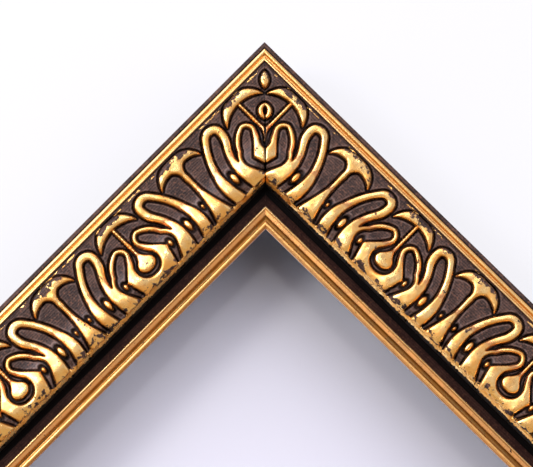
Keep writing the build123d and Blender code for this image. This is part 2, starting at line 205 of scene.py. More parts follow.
GOLD_PALE = tone(252, 208, 134)
GOLD = tone(244, 180, 94)
GOLD_DEEP = tone(206, 130, 56)
# Pale leaf on the crests: burnish and a painted highlight
LEAF_BURNISH_HIGHLIGHT = tone(255, 232, 168)
# A painted shade for the crease
TAN = tone(214, 148, 98)
BOLE = tone(138, 76, 34)
GROUND = tone(64, 45, 38)
GROUND_WARM = tone(102, 74, 62)
GROUND_DEEP = tone(16, 10, 8)
RUST = tone(132, 88, 66)
# A painted highlight on the ground's raised edge beside the ribs
SHOULDER_HIGHLIGHT = tone(134, 108, 96)
BLACK = tone(5, 3, 2)
SLIP_DARK = tone(42, 15, 9)
WOOD_PALE = tone(206, 172, 130)
WOOD_RING = tone(172, 132, 92)
WOOD_FIBRE = tone(140, 104, 70)
WOOD_GRIME = tone(112, 86, 64)
ZINC_PALE = tone(204, 201, 196)
ZINC_DARK = tone(160, 158, 154)
ZINC_SCRATCH = tone(112, 110, 108)
RUBBER = tone(46, 44, 43)
RUBBER_DUST = tone(78, 74, 70)
BACKDROP_COLOUR = tone(249, 248, 254)
FLOOR_COLOUR = tone(251, 250, 246)
STAGE_SHADE = tone(236, 236, 240)

# Gilt across the rail's edge and across the slip: places across the moulding and the colours there. The pale
# stops are painted highlights on beads and fillets, the dark stops painted shade in grooves and dips, partly
# dirt in the slip's dip.
EDGE_BANDS = (
    (2.5, GOLD_DEEP), (2.85, GOLD), (3.25, tone(253, 214, 146)), (3.8, tone(246, 194, 116)),
    (4.2, tone(222, 156, 84)), (4.6, tone(178, 108, 40)), (5.0, tone(238, 178, 108)),
    (5.7, tone(242, 184, 112)), (6.1, GOLD), (6.45, tone(255, 226, 166)), (6.8, GOLD_DEEP),
)
SLIP_BANDS = (
    (59.0, GOLD), (59.4, tone(255, 228, 170)), (59.75, GOLD), (60.05, tone(126, 74, 28)),
    (60.6, tone(226, 158, 96)), (61.6, tone(228, 160, 98)), (62.1, tone(184, 120, 60)),
    (62.7, tone(84, 42, 8)), (63.7, tone(88, 46, 10)), (64.4, tone(186, 124, 56)),
    (65.0, tone(244, 186, 112)), (65.6, tone(250, 194, 118)), (66.2, tone(214, 150, 84)),
    (66.6, tone(150, 92, 42)), (67.0, tone(200, 136, 86)),
)

# Noise in the finishes: the size of its features, its detail and its roughness, and what the place's
# parts along, across and up are multiplied by where it is drawn out
CLOUDS = (9.0, 4.0)
GRAIN = (1.3, 3.0, 0.6)
LEAF_CLOUDS = (6.0, 5.0)
LEAF_GRAIN = (1.3, 3.0)
RAGS = (1.2, 3.0, 0.6)
PATCHES = (5.5, 5.0, 0.62)
FOOT_PATCHES = (3.2, 4.0, 0.6, (0.65, 1.0, 1.0))
SPECKS = (1.5, 2.0, 0.5)
TRACES = (3.0, 4.0, 0.62, (0.35, 1.0, 1.0))
WRINKLES = (2.2, 4.0, 0.6)
EDGE_STREAKS = (0.9, 3.0, 0.55, (0.08, 1.0, 1.0))
EDGE_SPECKS = (1.5, 3.0, 0.55, (0.45, 1.0, 1.0))
EDGE_WRINKLES = (1.6, 4.0)
WOOD_BEND = (1.0, 2.0, 0.55, (0.012, 0.12, 0.12))
FIBRES = (0.5, 3.0, 0.55, (0.05, 1.0, 1.0))
GRIME = (30.0, 4.0)
SPANGLE = (2.2 * MM, 4.0, 0.6)
SCRATCHES = (0.25 * MM, 3.0, 0.55, (1.0, 1.0, 0.12))
DUST = (3.0 * MM, 4.0)
RUBBER_GRAIN = (0.3 * MM, 2.0)
STAGE_CLOUDS = (0.4, 3.0)
MIDDLE_NOISE = 0.5

# The linen in the ground: its threads' spacing, their distortion, its detail and the detail's scale
LINEN = (1.25, 2.4, 2.0, 1.2)
WEFT_SHARE = 0.3
WAVE_PERIOD = math.pi / 10

# Where each look sets in and is complete, with its shares there if they aren't 0 and 1.
# Two pairs in one value say where it comes and where it goes again, and a number after them how far it goes.
GROUND_WARMS = (0.35, 0.68)
LINEN_SHOWS = (0.3, 0.75, 0.0, 0.5)
RUST_SHOWS = (0.54, 0.68, 0.0, 0.75)
PITS_SHOW = (0.34, 0.46, 0.7, 0.0)
LEAF_WARMS = (0.32, 0.66)
LEAF_DEEPENS = (0.55, 0.75, 0.0, 0.6)
LEAF_ROUGHENS = (0.3, 0.7, 0.2, 0.36)
LEAF_EDGE = (-0.1, 0.12)
CROWN_WEARS = (1.0, 7.0, 0.28, 0.0)
CROWN_GONE = (0.7, 0.76)
FOOT_WEARS = (36.5, 40.0, 0.0, 0.17)
FOOT_GONE = (0.68, 0.72)
CHIPS = (0.715, 0.735)
BORDER_TRACES = ((0.3, 0.5), (1.1, 1.5))
TRACES_LEFT = (0.55, 0.58)
STRIP_EDGE = (FOOT_START + 4.2, FOOT_START + 4.5)
STRIP_LEFT = (0.64, 0.68, 1.0, 0.0)
# A painted shadow under the bulge's foot
UNDER_FOOT = (FOOT_END, FOOT_END + 0.3)
# Black in the hollows beside the ribs, toner and painted shade
HOLLOWS = ((-1.3, -0.75), (0.1, 0.5))
HOLLOWS_VARY = (0.35, 0.6, 1.0, 0.8)
# A painted highlight on the ground's rising edge beside the ribs
SHOULDERS = ((-2.1, -1.6), (-1.5, -1.15))
SHOULDERS_VARY = (0.42, 0.6, 0.0, 0.75)
LOW_GOLD = (0.4, 1.3, 0.6, 0.0)
FLANKS = (-0.05, 0.5, 0.75, 0.0)
CREST_INSIDE = (0.5, 1.3)
CREST_LIFTED = (0.9, 1.7)
CREST_PALES = (0.3, 0.55, 0.3, 0.05)
CREASE = ((19.5, 21.5), (23.5, 26.5), 0.75)
SEAM_DARK = (0.3, 0.55, 1.0, 0.0)
SEAM_LOW = (17.5, 19.5)
SEAM_FINE = (0.05, 0.3, 0.7, 0.0)
RUBBED = ((24.0, 28.0), (33.0, 37.0))
EDGE_GILT = ((2.5, 2.75), (6.65, 6.9))
# Painted shade: dark lines in the rail's groove and nick
GROOVE_DARK = (0.15, 0.5, 0.25, 0.0)
NICK_DARK = (0.15, 0.35, 0.85, 0.0)
SLIP_GILT = (58.95, 59.15)
SLIP_GILT_FOOT = (10.9, 11.5)
# Painted shade: black on the slip where the rail shades it
SLIP_RECESS = (54.4, 55.4, 0.95, 0.0)
RINGS_SHOW = (0.2, 0.95)
FIBRES_SHOW = (0.4, 0.75, 0.0, 0.45)
GRIME_SHOWS = (0.5, 0.8, 0.0, 0.35)
SPANGLE_SHOWS = (0.35, 0.7)
SCRATCHES_SHOW = (0.6, 0.8, 0.0, 0.5)
ZINC_ROUGHENS = (0.3, 0.7, 0.24, 0.42)
DUST_SHOWS = (0.45, 0.75)
STAGE_VARIES = (0.3, 0.7, 0.0, 0.02)

# Other shares and places in the finishes
LEAF_RAGS = 0.7
CROWN_RAGS = 0.12
STRIP_TEETH = (3.5, 3.0)
UNDER_RAGS = 3.0
STRIP_DEEP = 0.15
RUBBED_WEAVE = 0.35
GROOVE_MIDDLE = 7.15
NICK_MIDDLE = 2.2
SLIP_PAINT = 0.72
WOOD_RINGS = 14.0

# Roughness and gloss of the ground, as it is and where it is rubbed, and roughness of the edges' paint
GROUND_ROUGHNESS = (0.5, 0.42)
GROUND_GLOSS = (0.24, 0.4)
EDGE_ROUGHNESS = 0.5

# Bumps: their height and strength
WEAVE_BUMP = (0.13, 0.9)
WRINKLE_BUMP = (0.24, 0.7)
LEAF_BUMP = (0.05, 0.6)
EDGE_WEAVE_BUMP = (0.05, 0.6)
EDGE_WRINKLE_BUMP = (0.1, 0.5)
FIBRE_BUMP = (0.12, 0.6)
SCRATCH_BUMP = (0.02, 0.5)
RUBBER_BUMP = (0.03, 0.6)

# The photograph looks almost straight at the top right corner, turned so that the corner points up
TURN = math.radians(45.36)
UP = Vector((math.sin(TURN), 0, math.cos(TURN)))
RIGHT = Vector((math.cos(TURN), 0, -math.sin(TURN)))
FRONT = Vector((0, -1, 0))
PIXEL = 0.5082 * MM
IMAGE = (533, 467)
APEX_PIXEL = (264.5, 39.2)
DISTANCE = 3.2
TILT = math.radians(7.5)
SENSOR = 36.0
CLIP = (0.1, 60.0)

# The studio's light by direction: a dome that is bright round the photograph's left, top and right and dim
# straight ahead, with nothing from below. On metal its left counts for more, and a warm room shows below.
DOME = (
    (0.0, 0.0), (0.15, 0.05), (0.3, 2.1), (0.42, 2.15), (0.6, 1.8),
    (0.8, 1.2), (0.9, 0.9), (0.97, 0.2), (1.0, 0.05),
)
DOME_TOP = 2.5
DOME_FOOT = (-0.3, -0.15)
DOME_SIDES = (-1.0, 1.0, DOME_TOP, 1.3 * DOME_TOP)
GLOSS_SIDES = (-0.7, 0.4, 2.3, 0.33)
COOL_SIDE = (-0.7, 0.0, 1.0, 0.0)
BEHIND = (-0.25, 0.05, 0.14, 0.005)
ROOM_BEHIND = (-0.3, 0.15, 0.65, 0.0)
ROOM_BELOW = (-0.3, 0.15, 0.0, 0.62)
ROOM_BACK = (-0.7, -0.35, 0.9, 0.0)
ROOM_AHEAD = (0.75, 0.97, 0.0, 0.75)
WARM_FRONT = (-0.1, 0.1)
STUDIO_TINT = (0.96, 0.94, 1.07, 1.0)
GLOSS_COOL = (0.9, 0.97, 1.2, 1.0)
ROOM_WARMTH = (1.0, 0.78, 0.52, 1.0)
WHITE = (1.0, 1.0, 1.0, 1.0)

# Lamps, aimed at one point in the frame's opening: direction, distance and size in metres, watts, colour
LAMP_AIM = Vector((0.05, -0.02, 0.0))
LAMP_WARM = (1.0, 0.985, 0.97)
LAMP_WHITE = (1.0, 1.0, 1.0)
LAMPS = {
    "left_box": (FRONT * 0.7 + UP * 0.36 - RIGHT * 0.62, 1.0, 0.26, 1.8, LAMP_WARM),
    "left_panel": (FRONT * 0.92 + UP * 0.19 - RIGHT * 0.35, 0.61, 0.16, 0.5, LAMP_WHITE),
    "front_box": (FRONT + UP * 0.42, 2.4, 0.3, 3.4, LAMP_WARM),
    "back_fill": (Vector((-0.5, 1.2, 0.7)), 2.4, 2.0, 22.0, LAMP_WHITE),
}


def step(low, high, value):
    """A smooth step from 0 at low to 1 at high."""
    share = np.clip((value - low) / (high - low), 0, 1)
    return share * share * (3 - 2 * share)


def between(table, row, column, row_share, column_share):
    """A table's value between four neighbours. Past its end the table starts again."""
    rows, columns = table.shape
    near, far = row % rows, (row + 1) % rows
    low, high = column % columns, (column + 1) % columns
    lower = table[near, low] * (1 - row_share) + table[far, low] * row_share
    upper = table[near, high] * (1 - row_share) + table[far, high] * row_share
    return lower * (1 - column_share) + upper * column_share


def uneven(kind, along, run):
    """Smooth seeded noise over a side. kind holds its seed, the size of its features and its height."""
    seed, size, height = kind
    table = np.random.default_rng(seed).uniform(-1, 1, NOISE_TABLE)
    x, y = along / size + NOISE_START[0], run / size + NOISE_START[1]
    row, column = np.floor(x).astype(int), np.floor(y).astype(int)
    return height * between(table, row, column, step(0, 1, x - row), step(0, 1, y - column))


def world_points(side, along, across, height):
    """Points in a side's own directions as points in the shared frame, in metres."""
    origin, forward, inward, _ = SIDES[side]
    points = np.array(origin, float) + np.multiply.outer(along, np.array(forward, float))
    points = points + np.multiply.outer(across, np.array(inward, float))
    return (points + np.multiply.outer(height, np.array((0.0, -1.0, 0.0)))) * MM


def eased(values, width):
    """A moving mean over that width of the frieze's table."""
    reach = round(width / TABLE_STEP / 2)
    count = 2 * reach + 1
    return np.convolve(np.pad(values, reach, mode="edge"), np.ones(count) / count, "valid")


def frieze_table():
    """The frieze's section by the distance along its surface: across, height and lean."""
    rise_radius = (RISE_WIDTH**2 + CREST_RISE**2) / (2 * CREST_RISE)
    rise_angle = math.asin(RISE_WIDTH / rise_radius)
    roll_start = FIELD_WIDTH + rise_radius * rise_angle
    end = roll_start + ROLL_RADIUS * math.pi / 2
    run = np.append(np.arange(0, end, TABLE_STEP), end)
    on_rise = rise_angle - (run - FIELD_WIDTH) / rise_radius
    on_roll = (run - roll_start) / ROLL_RADIUS
    parts = [run <= FIELD_WIDTH, run <= roll_start]
    rise_across = CREST - rise_radius * np.sin(on_rise)
    rise_height = CREST_HEIGHT - rise_radius * (1 - np.cos(on_rise))
    roll_across = CREST + ROLL_RADIUS * np.sin(on_roll)
    roll_height = CREST_HEIGHT - ROLL_RADIUS * (1 - np.cos(on_roll))
    across = np.select(parts, [BORDER + run, rise_across], roll_across)
    height = np.select(parts, [np.full(run.shape, FIELD_HEIGHT), rise_height], roll_height)
    lean = np.select(parts, [np.zeros(run.shape), -on_rise], on_roll)
    near_crease = 1 - step(*CREASE_REACH, np.abs(run - FIELD_WIDTH))
    height = height * (1 - near_crease) + eased(height, CREASE_EASE) * near_crease
    return run, across, height, eased(lean, LEAN_EASE)


RUN, RUN_ACROSS, RUN_HEIGHT, RUN_LEAN = frieze_table()


def run_at(across):
    return np.interp(across, RUN_ACROSS, RUN)


def across_at(run):
    return np.interp(run, RUN, RUN_ACROSS)


def lens_distance(x, y, length, width):
    """How far a point lies inside a pointed oval along x, negative outside."""
    radius = (length**2 + width**2) / (4 * width)
    shift = radius - width / 2
    return radius - np.hypot(x, np.abs(y) + shift)


def mesh_values(items, name, kind, width=1):
    """One property of a mesh's items as an array, a row for each item."""
    values = np.empty(len(items) * width, kind)
    items.foreach_get(name, values)
    return values.reshape(-1, width)


def ornament_outlines(side):
    """Points along the ornament's outlines on a side, in (along, run), read from the side's CAD nodes."""
    origin, forward, inward, half = SIDES[side]
    plan = np.array([forward, inward], float).T
    found = []
    for kind in ORNAMENT_KINDS:
        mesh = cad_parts[f"{side}_{kind}"].data
        mesh.calc_loop_triangles()
        places = (mesh_values(mesh.vertices, "co", np.float32, 3) / MM - np.array(origin)) @ plan
        corners = mesh_values(mesh.loop_triangles, "vertices", np.int32, 3)
        normals = mesh_values(mesh.loop_triangles, "normal", np.float32, 3)
        walls = places[corners[np.abs(normals[:, 1]) < WALL_LEAN]]
        for first, second in ((0, 1), (1, 2), (2, 0)):
            for share in np.linspace(0, 1, OUTLINE_SPLIT):
                found.append(walls[:, first] * (1 - share) + walls[:, second] * share)
    points = np.concatenate(found)
    on_mitre = half - np.abs(points[:, 0]) - points[:, 1] < NEAR
    at_foot = points[:, 1] > ORNAMENT_END - NEAR
    on_half = points[:, 0] > -PAST_MIDDLE - PAST_CORNER
    points = np.unique(np.round(points[on_half & ~on_mitre & ~at_foot], OUTLINE_DIGITS), axis=0)
    return np.c_[points[:, 0], run_at(points[:, 1])]


def inside_ornament(side, along, across):
    """Whether the side's CAD ornament lies over each point."""
    corners, faces = [], []
    for kind in ORNAMENT_KINDS:
        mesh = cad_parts[f"{side}_{kind}"].data
        faces += [[len(corners) + corner for corner in face.vertices] for face in mesh.polygons]
        corners += [vertex.co for vertex in mesh.vertices]
    tree = BVHTree.FromPolygons(corners, faces)
    starts = world_points(side, along, across, np.full(along.shape, RAY_START))
    back = Vector((0, 1, 0))
    return np.array([tree.ray_cast(Vector(start), back)[0] is not None for start in starts])


def ornament_distance(side, along, across):
    """How far each point lies inside the side's CAD ornament, negative outside."""
    in_frieze = (across > BORDER) & (across < ORNAMENT_END)
    feet = across >= ORNAMENT_END
    inside = np.zeros(across.shape, bool)
    inside[in_frieze] = inside_ornament(side, along[in_frieze], across[in_frieze])
    inside[feet] = inside_ornament(side, along[feet], np.full(feet.sum(), ORNAMENT_END - FOOT_PROBE))
    outline = ornament_outlines(side)
    tree = KDTree(len(outline))
    for index, (x, y) in enumerate(outline):
        tree.insert((x, y, 0), index)
    tree.balance()
    nearest = [tree.find((x, y, 0))[2] for x, y in zip(along.ravel(), run_at(across).ravel())]
    distance = np.array(nearest).reshape(inside.shape)
    return np.where(inside, distance, -distance)


def spot_distance(half, along, across):
    """How far each point lies inside one of the small gilt spots between the ribs."""
    span = 2 * (half - CORNER_AXIS)
    count = round(span / MOTIF_PITCH)
    distance = np.full(along.shape, -np.inf)
    for motif in range(count + 1):
        axis = span * (motif / count - 0.5)
        for place, spot_across, spot_half, spot_length in SPOTS if 0 < motif < count else CORNER_SPOTS:
            place = place * span / count / MOTIF_PITCH
            for hand in (-1, 1):
                x = (along - axis - hand * place) / spot_half
                y = (run_at(across) - run_at(spot_across)) / spot_length
                distance = np.maximum(distance, (1 - np.hypot(x, y)) * spot_half)
    return distance


def corner_distance(half, along, across):
    """How far each point lies inside the eye or the bud on the mitre."""
    corner = half - along
    diagonal, beside = (corner + across) / math.sqrt(2), (corner - across) / math.sqrt(2)
    eye, slit, bud = (
        lens_distance(diagonal - middle * math.sqrt(2), beside, length, width)
        for middle, length, width in (EYE, EYE_SLIT, BUD)
    )
    return np.maximum(np.minimum(eye, -slit), bud)


def inflate(cover):
    """A membrane blown up inside a shape on the raster: over a strip, it is the strip's own half round."""
    u = np.zeros_like(cover)
    hold = 4 + DOME_HOLD * (1 - cover)
    source = cover * RASTER_STEP**2
    for _ in range(DOME_ROUNDS):
        padded = np.pad(u, 1, mode="edge")
        around = padded[:-2, 1:-1] + padded[2:, 1:-1] + padded[1:-1, :-2] + padded[1:-1, 2:]
        u = (around + source) / hold
    return np.sqrt(2 * u)


def smoothed(values):
    """Takes the grid's steps out of a raster."""
    kernel = np.exp(-0.5 * (np.arange(-BLUR_REACH, BLUR_REACH + 1) / BLUR_WIDTH) ** 2)
    kernel /= kernel.sum()
    padded = np.pad(values, BLUR_REACH, mode="edge")
    across = sum(weight * padded[:, n : n + values.shape[1]] for n, weight in enumerate(kernel))
    return sum(weight * across[n : n + values.shape[0]] for n, weight in enumerate(kernel))


def relief_fields(side):
    """Rasters over (along, run) for half a side: distance inside the ornament, and the dome over it."""
    half = SIDES[side][3]
    along = np.arange(-PAST_MIDDLE, half + PAST_CORNER, RASTER_STEP)
    run = np.arange(0.0, RUN[-1] + RASTER_STEP, RASTER_STEP)
    from_corner, across = np.meshgrid(half - along, across_at(run), indexing="ij")

    # Past the mitre, the rasters mirror what lies before it
    beyond = from_corner < across
    from_corner, across = np.where(beyond, across, from_corner), np.where(beyond, from_corner, across)
    along = half - from_corner
    distance = ornament_distance(side, along, across)
    distance = np.maximum(distance, spot_distance(half, along, across))
    distance = np.maximum(distance, corner_distance(half, along, across))
    cover = np.clip(0.5 + (distance + RIB_SWELL) / RASTER_STEP, 0, 1)
    return distance, smoothed(inflate(cover))


def from_raster(values, along, run):
    """Reads a raster between its points."""
    x = np.clip((along + PAST_MIDDLE) / RASTER_STEP, 0, values.shape[0] - 1)
    y = np.clip(run / RASTER_STEP, 0, values.shape[1] - 1)
    row, column = x.astype(int), y.astype(int)
    return between(values, row, column, x - row, y - column)


def new_piece(name, points, faces, material):
    mesh = bpy.data.meshes.new(name)
    mesh.from_pydata([tuple(p) for p in points], [], faces)
    mesh.materials.append(material)
    mesh.polygons.foreach_set("use_smooth", [True] * len(mesh.polygons))
    piece = bpy.data.objects.new(name, mesh)
    bpy.context.scene.collection.objects.link(piece)
    return piece


def add_values(mesh, name, values):
    values = np.asarray(values, np.float32).ravel()
    mesh.attributes.new(name, "FLOAT", "POINT").data.foreach_set("value", values)


def add_places(mesh, along, across, height):
    places = np.stack([along, across, height], -1).astype(np.float32).ravel()
    mesh.attributes.new("place", "FLOAT_VECTOR", "POINT").data.foreach_set("vector", places)


def relief_height(side, fields, along, run):
    """The relief's height over the frieze, and how far points lie inside the ornament and from the mitre."""
    across = across_at(run)
    distance, dome = (from_raster(values, np.abs(along), run) for values in fields)
    distance = distance + RIB_SWELL
    outside = np.maximum(-distance, 0)
    mitre = (SIDES[side][3] - np.abs(along) - across) / math.sqrt(2)
    shifted = along + PATTERN_SHIFT[side]
    lift = RELIEF * (1 - np.exp(-dome / RIB_EASE))
    waves = uneven(RIB_WAVES, shifted, run) + uneven(RIB_RIPPLES, shifted, run)
    lift = lift + waves * step(*WAVES_START, dome)
    groove = np.where(distance > 0, np.exp(-distance / GROOVE_EASE), 1 - step(*GROOVE_SIDE, outside))
    ground = uneven(GROUND_WAVES, shifted, run) * step(*GROUND_START, outside)
    total = lift - GROOVE_SINK * groove + ground
    foot = step(FOOT_START, FOOT_START + FOOT_EDGE, run + uneven(FOOT_TEETH, shifted, run))
    total = total * (1 - foot) + foot * (FOOT_RISE + uneven(FOOT_WAVES, shifted, run))
    seam = np.exp(-((mitre / SEAM_WIDTH) ** 2)) * step(*SEAM_START, across)
    total = total - SEAM_SINK * seam
    return np.where(run < SLAB_RIM, np.minimum(total, 0.0), total), distance, mitre


def slab_faces(places, limits):
    """The faces of a slab, and for each the column of the grid it stands in, or HIDDEN."""
    columns, count = len(places), len(limits)

    # Past the mitre, all of a row's points fall on its last one, and the faces there close up
    first = np.maximum(np.searchsorted(places, -limits) - 1, 0)
    last = np.minimum(np.searchsorted(places, limits), columns - 1)
    column = np.clip(np.arange(columns)[:, None], first, last)
    index = column * count + np.arange(count)
    outer = columns * count + np.arange(columns)
    inner = columns * (count + 1) + column[:, -1]
    front = (index[:-1, :-1], index[1:, :-1], index[1:, 1:], index[:-1, 1:])
    rim = (index[1:, 0], index[:-1, 0], outer[:-1], outer[1:])
    lip = (index[:-1, -1], index[1:, -1], inner[1:], inner[:-1])
    bed = (outer[1:], outer[:-1], inner[:-1], inner[1:])
    faces, columns_of = [], []
    for group in (front, rim, lip, bed):
        for number, face in enumerate(np.stack(group, -1).reshape(-1, 4).tolist()):
            kept = list(dict.fromkeys(face))
            if len(kept) > 2:
                faces.append(kept)
                columns_of.append(number // (count - 1) if group is front else HIDDEN)
    faces.append([*index[0].tolist(), int(inner[0]), int(outer[0])])
    faces.append([int(outer[-1]), int(inner[-1]), *index[-1, ::-1].tolist()])
    return faces, np.array(columns_of + [HIDDEN, HIDDEN])


def fold_uv(mesh, columns_of, along, run, places):
    """Lays the long grid out as three strips, one above the other, and the hidden faces in a narrow one."""
    strips, used, hidden, margin = 3, 0.96, 0.97, 0.004
    corners = mesh_values(mesh.loops, "vertex_index", np.int32).ravel()
    totals = mesh_values(mesh.polygons, "loop_total", np.int32).ravel()
    column = np.repeat(columns_of, totals)
    per_strip = math.ceil((len(places) - 1) / strips)
    strip = column // per_strip
    start = places[np.clip(strip * per_strip, 0, len(places) - 1)]
    length = (places[1] - places[0]) * per_strip
    u = (along[corners] - start) / length * (1 - 2 * margin) + margin
    v = (run[corners] / RUN[-1] * (1 - 4 * margin) + 2 * margin + strip) / strips * used
    order = np.arange(len(corners))
    u = np.where(column == HIDDEN, order / len(corners), u)
    v = np.where(column == HIDDEN, hidden + (1 - hidden) * (order % 4 > 1), v)
    layer = mesh.uv_layers.new(name="OFBake")
    layer.uv.foreach_set("vector", np.stack([u, v], -1).astype(np.float32).ravel())


def relief_piece(side, fields, material):
    """The frieze of one side as a closed slab with the ornament in relief."""
    half = SIDES[side][3]
    rows = np.linspace(0, RUN[-1], round(RUN[-1] / ROW_STEP) + 1)
    limits = half - across_at(rows) - MITRE_GAP
    places = np.linspace(-limits[0], limits[0], round(2 * limits[0] / COLUMN_STEP) + 1)
    columns = len(places)
    along = np.clip(places[:, None], -limits, limits)
    run = np.repeat(rows[None, :], columns, 0)
    total, distance, mitre = relief_height(side, fields, along, run)
    across = across_at(run)
    lean = np.interp(run, RUN, RUN_LEAN)
    height = np.interp(run, RUN, RUN_HEIGHT) + total * np.cos(lean)
    leaned = across + total * np.sin(lean)
    leaned = np.minimum(leaned, np.maximum(half - np.abs(along) - MITRE_GAP, across))
    leaned = np.clip(leaned, BORDER, RAIL_WIDTH + ROLL_SPARE)
    points = np.concatenate([
        world_points(side, along, leaned, height).reshape(-1, 3),
        world_points(side, along[:, 0], across[:, 0], np.full(columns, SLAB_FOOT[0])),
        world_points(side, along[:, -1], across[:, -1], np.full(columns, SLAB_FOOT[1])),
    ])
    faces, columns_of = slab_faces(places, limits)
    used = np.zeros(len(points), bool)
    used[np.concatenate(faces)] = True
    renumber = np.cumsum(used) - 1
    faces = [renumber[face].tolist() for face in faces]

    def with_feet(values, outer_foot, inner_foot):
        """A value for each used point: the front's, then those of the slab's outer and inner foot."""
        feet = [np.broadcast_to(foot, columns) for foot in (outer_foot, inner_foot)]
        return np.concatenate([values.ravel(), *feet])[used]

    piece = new_piece(f"{side}_relief", points[used], faces, material)
    mesh = piece.data
    mesh.polygons.foreach_set("use_smooth", (columns_of != HIDDEN).tolist())
    add_values(mesh, "rib", with_feet(distance, -5.0, -5.0))
    add_values(mesh, "mitre", with_feet(mitre, 9.0, 9.0))
    shift = PATTERN_SHIFT[side]
    shifted = with_feet(along + shift, along[:, 0] + shift, along[:, -1] + shift)
    run = with_feet(run, 0.0, RUN[-1])
    add_places(mesh, shifted, run, with_feet(total, -1.0, -1.0))
    fold_uv(mesh, columns_of, shifted - shift, run, places)
    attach(piece, "frame")
    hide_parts(*(f"{side}_{kind}" for kind in ORNAMENT_KINDS))
    return piece


def arc(centre_x, centre_y, radius, start, end, steps):
    """Points on an arc, angles in degrees, without its first point."""
    angles = np.radians(np.linspace(start, end, steps + 1)[1:])
    return [(centre_x + radius * math.cos(a), centre_y + radius * math.sin(a)) for a in angles]


def bulge(start, end, rise, steps):
    """Points on a shallow arc from start to end with that rise in its middle, without its first point."""
    (x0, y0), (x1, y1) = start, end
    chord = math.hypot(x1 - x0, y1 - y0)
    onward_x, onward_y = (x1 - x0) / chord, (y1 - y0) / chord
    radius = (chord**2 / 4 + rise**2) / (2 * abs(rise))
    half_angle = math.asin(min(1.0, chord / 2 / radius))
    points = []
    for share in np.linspace(0, 1, steps + 1)[1:]:
        angle = (2 * share - 1) * half_angle
        onward = math.sin(angle) * radius + chord / 2
        up = (math.cos(angle) - math.cos(half_angle)) * math.copysign(radius, rise)
        points.append((x0 + onward_x * onward - onward_y * up, y0 + onward_y * onward + onward_x * up))
    return points


def rail_profile():
    """The rail's closed section from its outer back edge, with the slab's bed in place of the frieze."""
    ledge = EDGE_ROUND + EDGE_LEDGE
    cove = ledge + BEAD_WIDTH
    fillet = cove + COVE_WIDTH
    groove = fillet + FILLET_WIDTH
    points = [(0.0, level) for level in (BACK_SINK, *EDGE_STOPS, EDGE_HEIGHT - EDGE_ROUND)]
    points += arc(EDGE_ROUND, EDGE_HEIGHT - EDGE_ROUND, EDGE_ROUND, 180, 90, steps=6)
    points += [(ledge - outward, EDGE_HEIGHT - down) for outward, down in NICK]
    points += bulge(points[-1], (cove, EDGE_HEIGHT), BEAD_RISE, steps=16)
    points += bulge(points[-1], (fillet, EDGE_HEIGHT + COVE_RISE), -COVE_SAG, steps=8)
    points += bulge(points[-1], (groove, EDGE_HEIGHT + COVE_RISE), FILLET_CROWN, steps=4)
    points += [(groove, FIELD_HEIGHT - GROOVE_DEPTH), (BORDER, FIELD_HEIGHT - GROOVE_DEPTH)]
    points += [(BORDER, SLAB_FOOT[0]), (RAIL_WIDTH, SLAB_FOOT[1]), (RAIL_WIDTH, SEAT_HEIGHT)]
    finished = len(points) - 1
    points += [(SEAT_WALL, SEAT_HEIGHT), (SEAT_WALL, BACK_SINK)]
    return points, [FINISHED] * finished + [BARE] * (len(points) - finished)


def slip_profile():
    """The slip's closed section from its tongue's back edge to the sight edge and back."""
    flat_start, flat_end = SLIP_FLAT
    points = [(SLIP_TONGUE, BACK_SINK), (SLIP_TONGUE, SEAT_HEIGHT), (flat_start, SEAT_HEIGHT)]
    tongue = len(points) - 2
    points += [(flat_start, SLIP_HEIGHT - SLIP_BEVEL), (flat_start + SLIP_BEVEL, SLIP_HEIGHT)]
    points.append((flat_end, SLIP_HEIGHT))
    points += bulge(points[-1], (LINE_END, SLIP_HEIGHT), LINE_RISE, steps=10)
    points.append((SLOPE_END, SLIP_HEIGHT - SLOPE_DROP))
    points += bulge(points[-1], (DIP_END, DIP_HEIGHT), -DIP_SAG, steps=10)
    bead = (SIGHT_BEAD_END - DIP_END) / 2
    points += arc(DIP_END + bead, DIP_HEIGHT, bead, 180, 0, steps=14)
    points += arc(SIGHT_BEAD_END, DIP_HEIGHT - SIGHT_ROUND, SIGHT_ROUND, 90, 0, steps=6)
    points.append((SIGHT_EDGE, REBATE_DEPTH))
    finished = len(points) - 1 - tongue
    points += [(REBATE_WALL, REBATE_DEPTH), (REBATE_WALL, BACK_SINK)]
    return points, [BARE] * tongue + [FINISHED] * finished + [BARE] * (len(points) - finished - tongue)


def swept_piece(side, name, profile, finish, bare):
    """A moulding of that closed section along a side, cut at 45 degrees at both ends."""
    half = SIDES[side][3]
    section, marks = np.array(profile[0]), profile[1]
    count = len(section)
    middle = np.linspace(-1, 1, round(2 * half / SWEEP_STEP) + 1)[1:-1]
    shares = np.concatenate([[-1.0], -1 + MITRE_SHARES, middle, 1 - MITRE_SHARES[::-1], [1.0]])
    along = shares[:, None] * (half - section[:, 0] - MITRE_GAP)
    across = np.repeat(section[None, :, 0], len(shares), 0)
    height = np.repeat(section[None, :, 1], len(shares), 0)
    points = world_points(side, along, across, height).reshape(-1, 3)
    faces, materials = [], []
    for column in range(len(shares) - 1):
        for place in range(count):
            a, b = (column * count + corner for corner in (place, (place + 1) % count))
            faces.append((a, a + count, b + count, b))
            materials.append(marks[place])
    faces.append(list(range(count)))
    faces.append(list(range((len(shares) - 1) * count, len(shares) * count))[::-1])
    materials += [BARE, BARE]
    piece = new_piece(f"{side}_{name}", points, faces, finish)
    piece.data.materials.append(bare)
    piece.data.polygons.foreach_set("material_index", materials)
    piece.data.set_sharp_from_angle(angle=SHARP_ANGLE)
    add_places(piece.data, along + PATTERN_SHIFT[side], across, height)
    add_values(piece.data, "mitre", (half - np.abs(along) - across) / math.sqrt(2))
    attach(piece, "frame")
    return piece


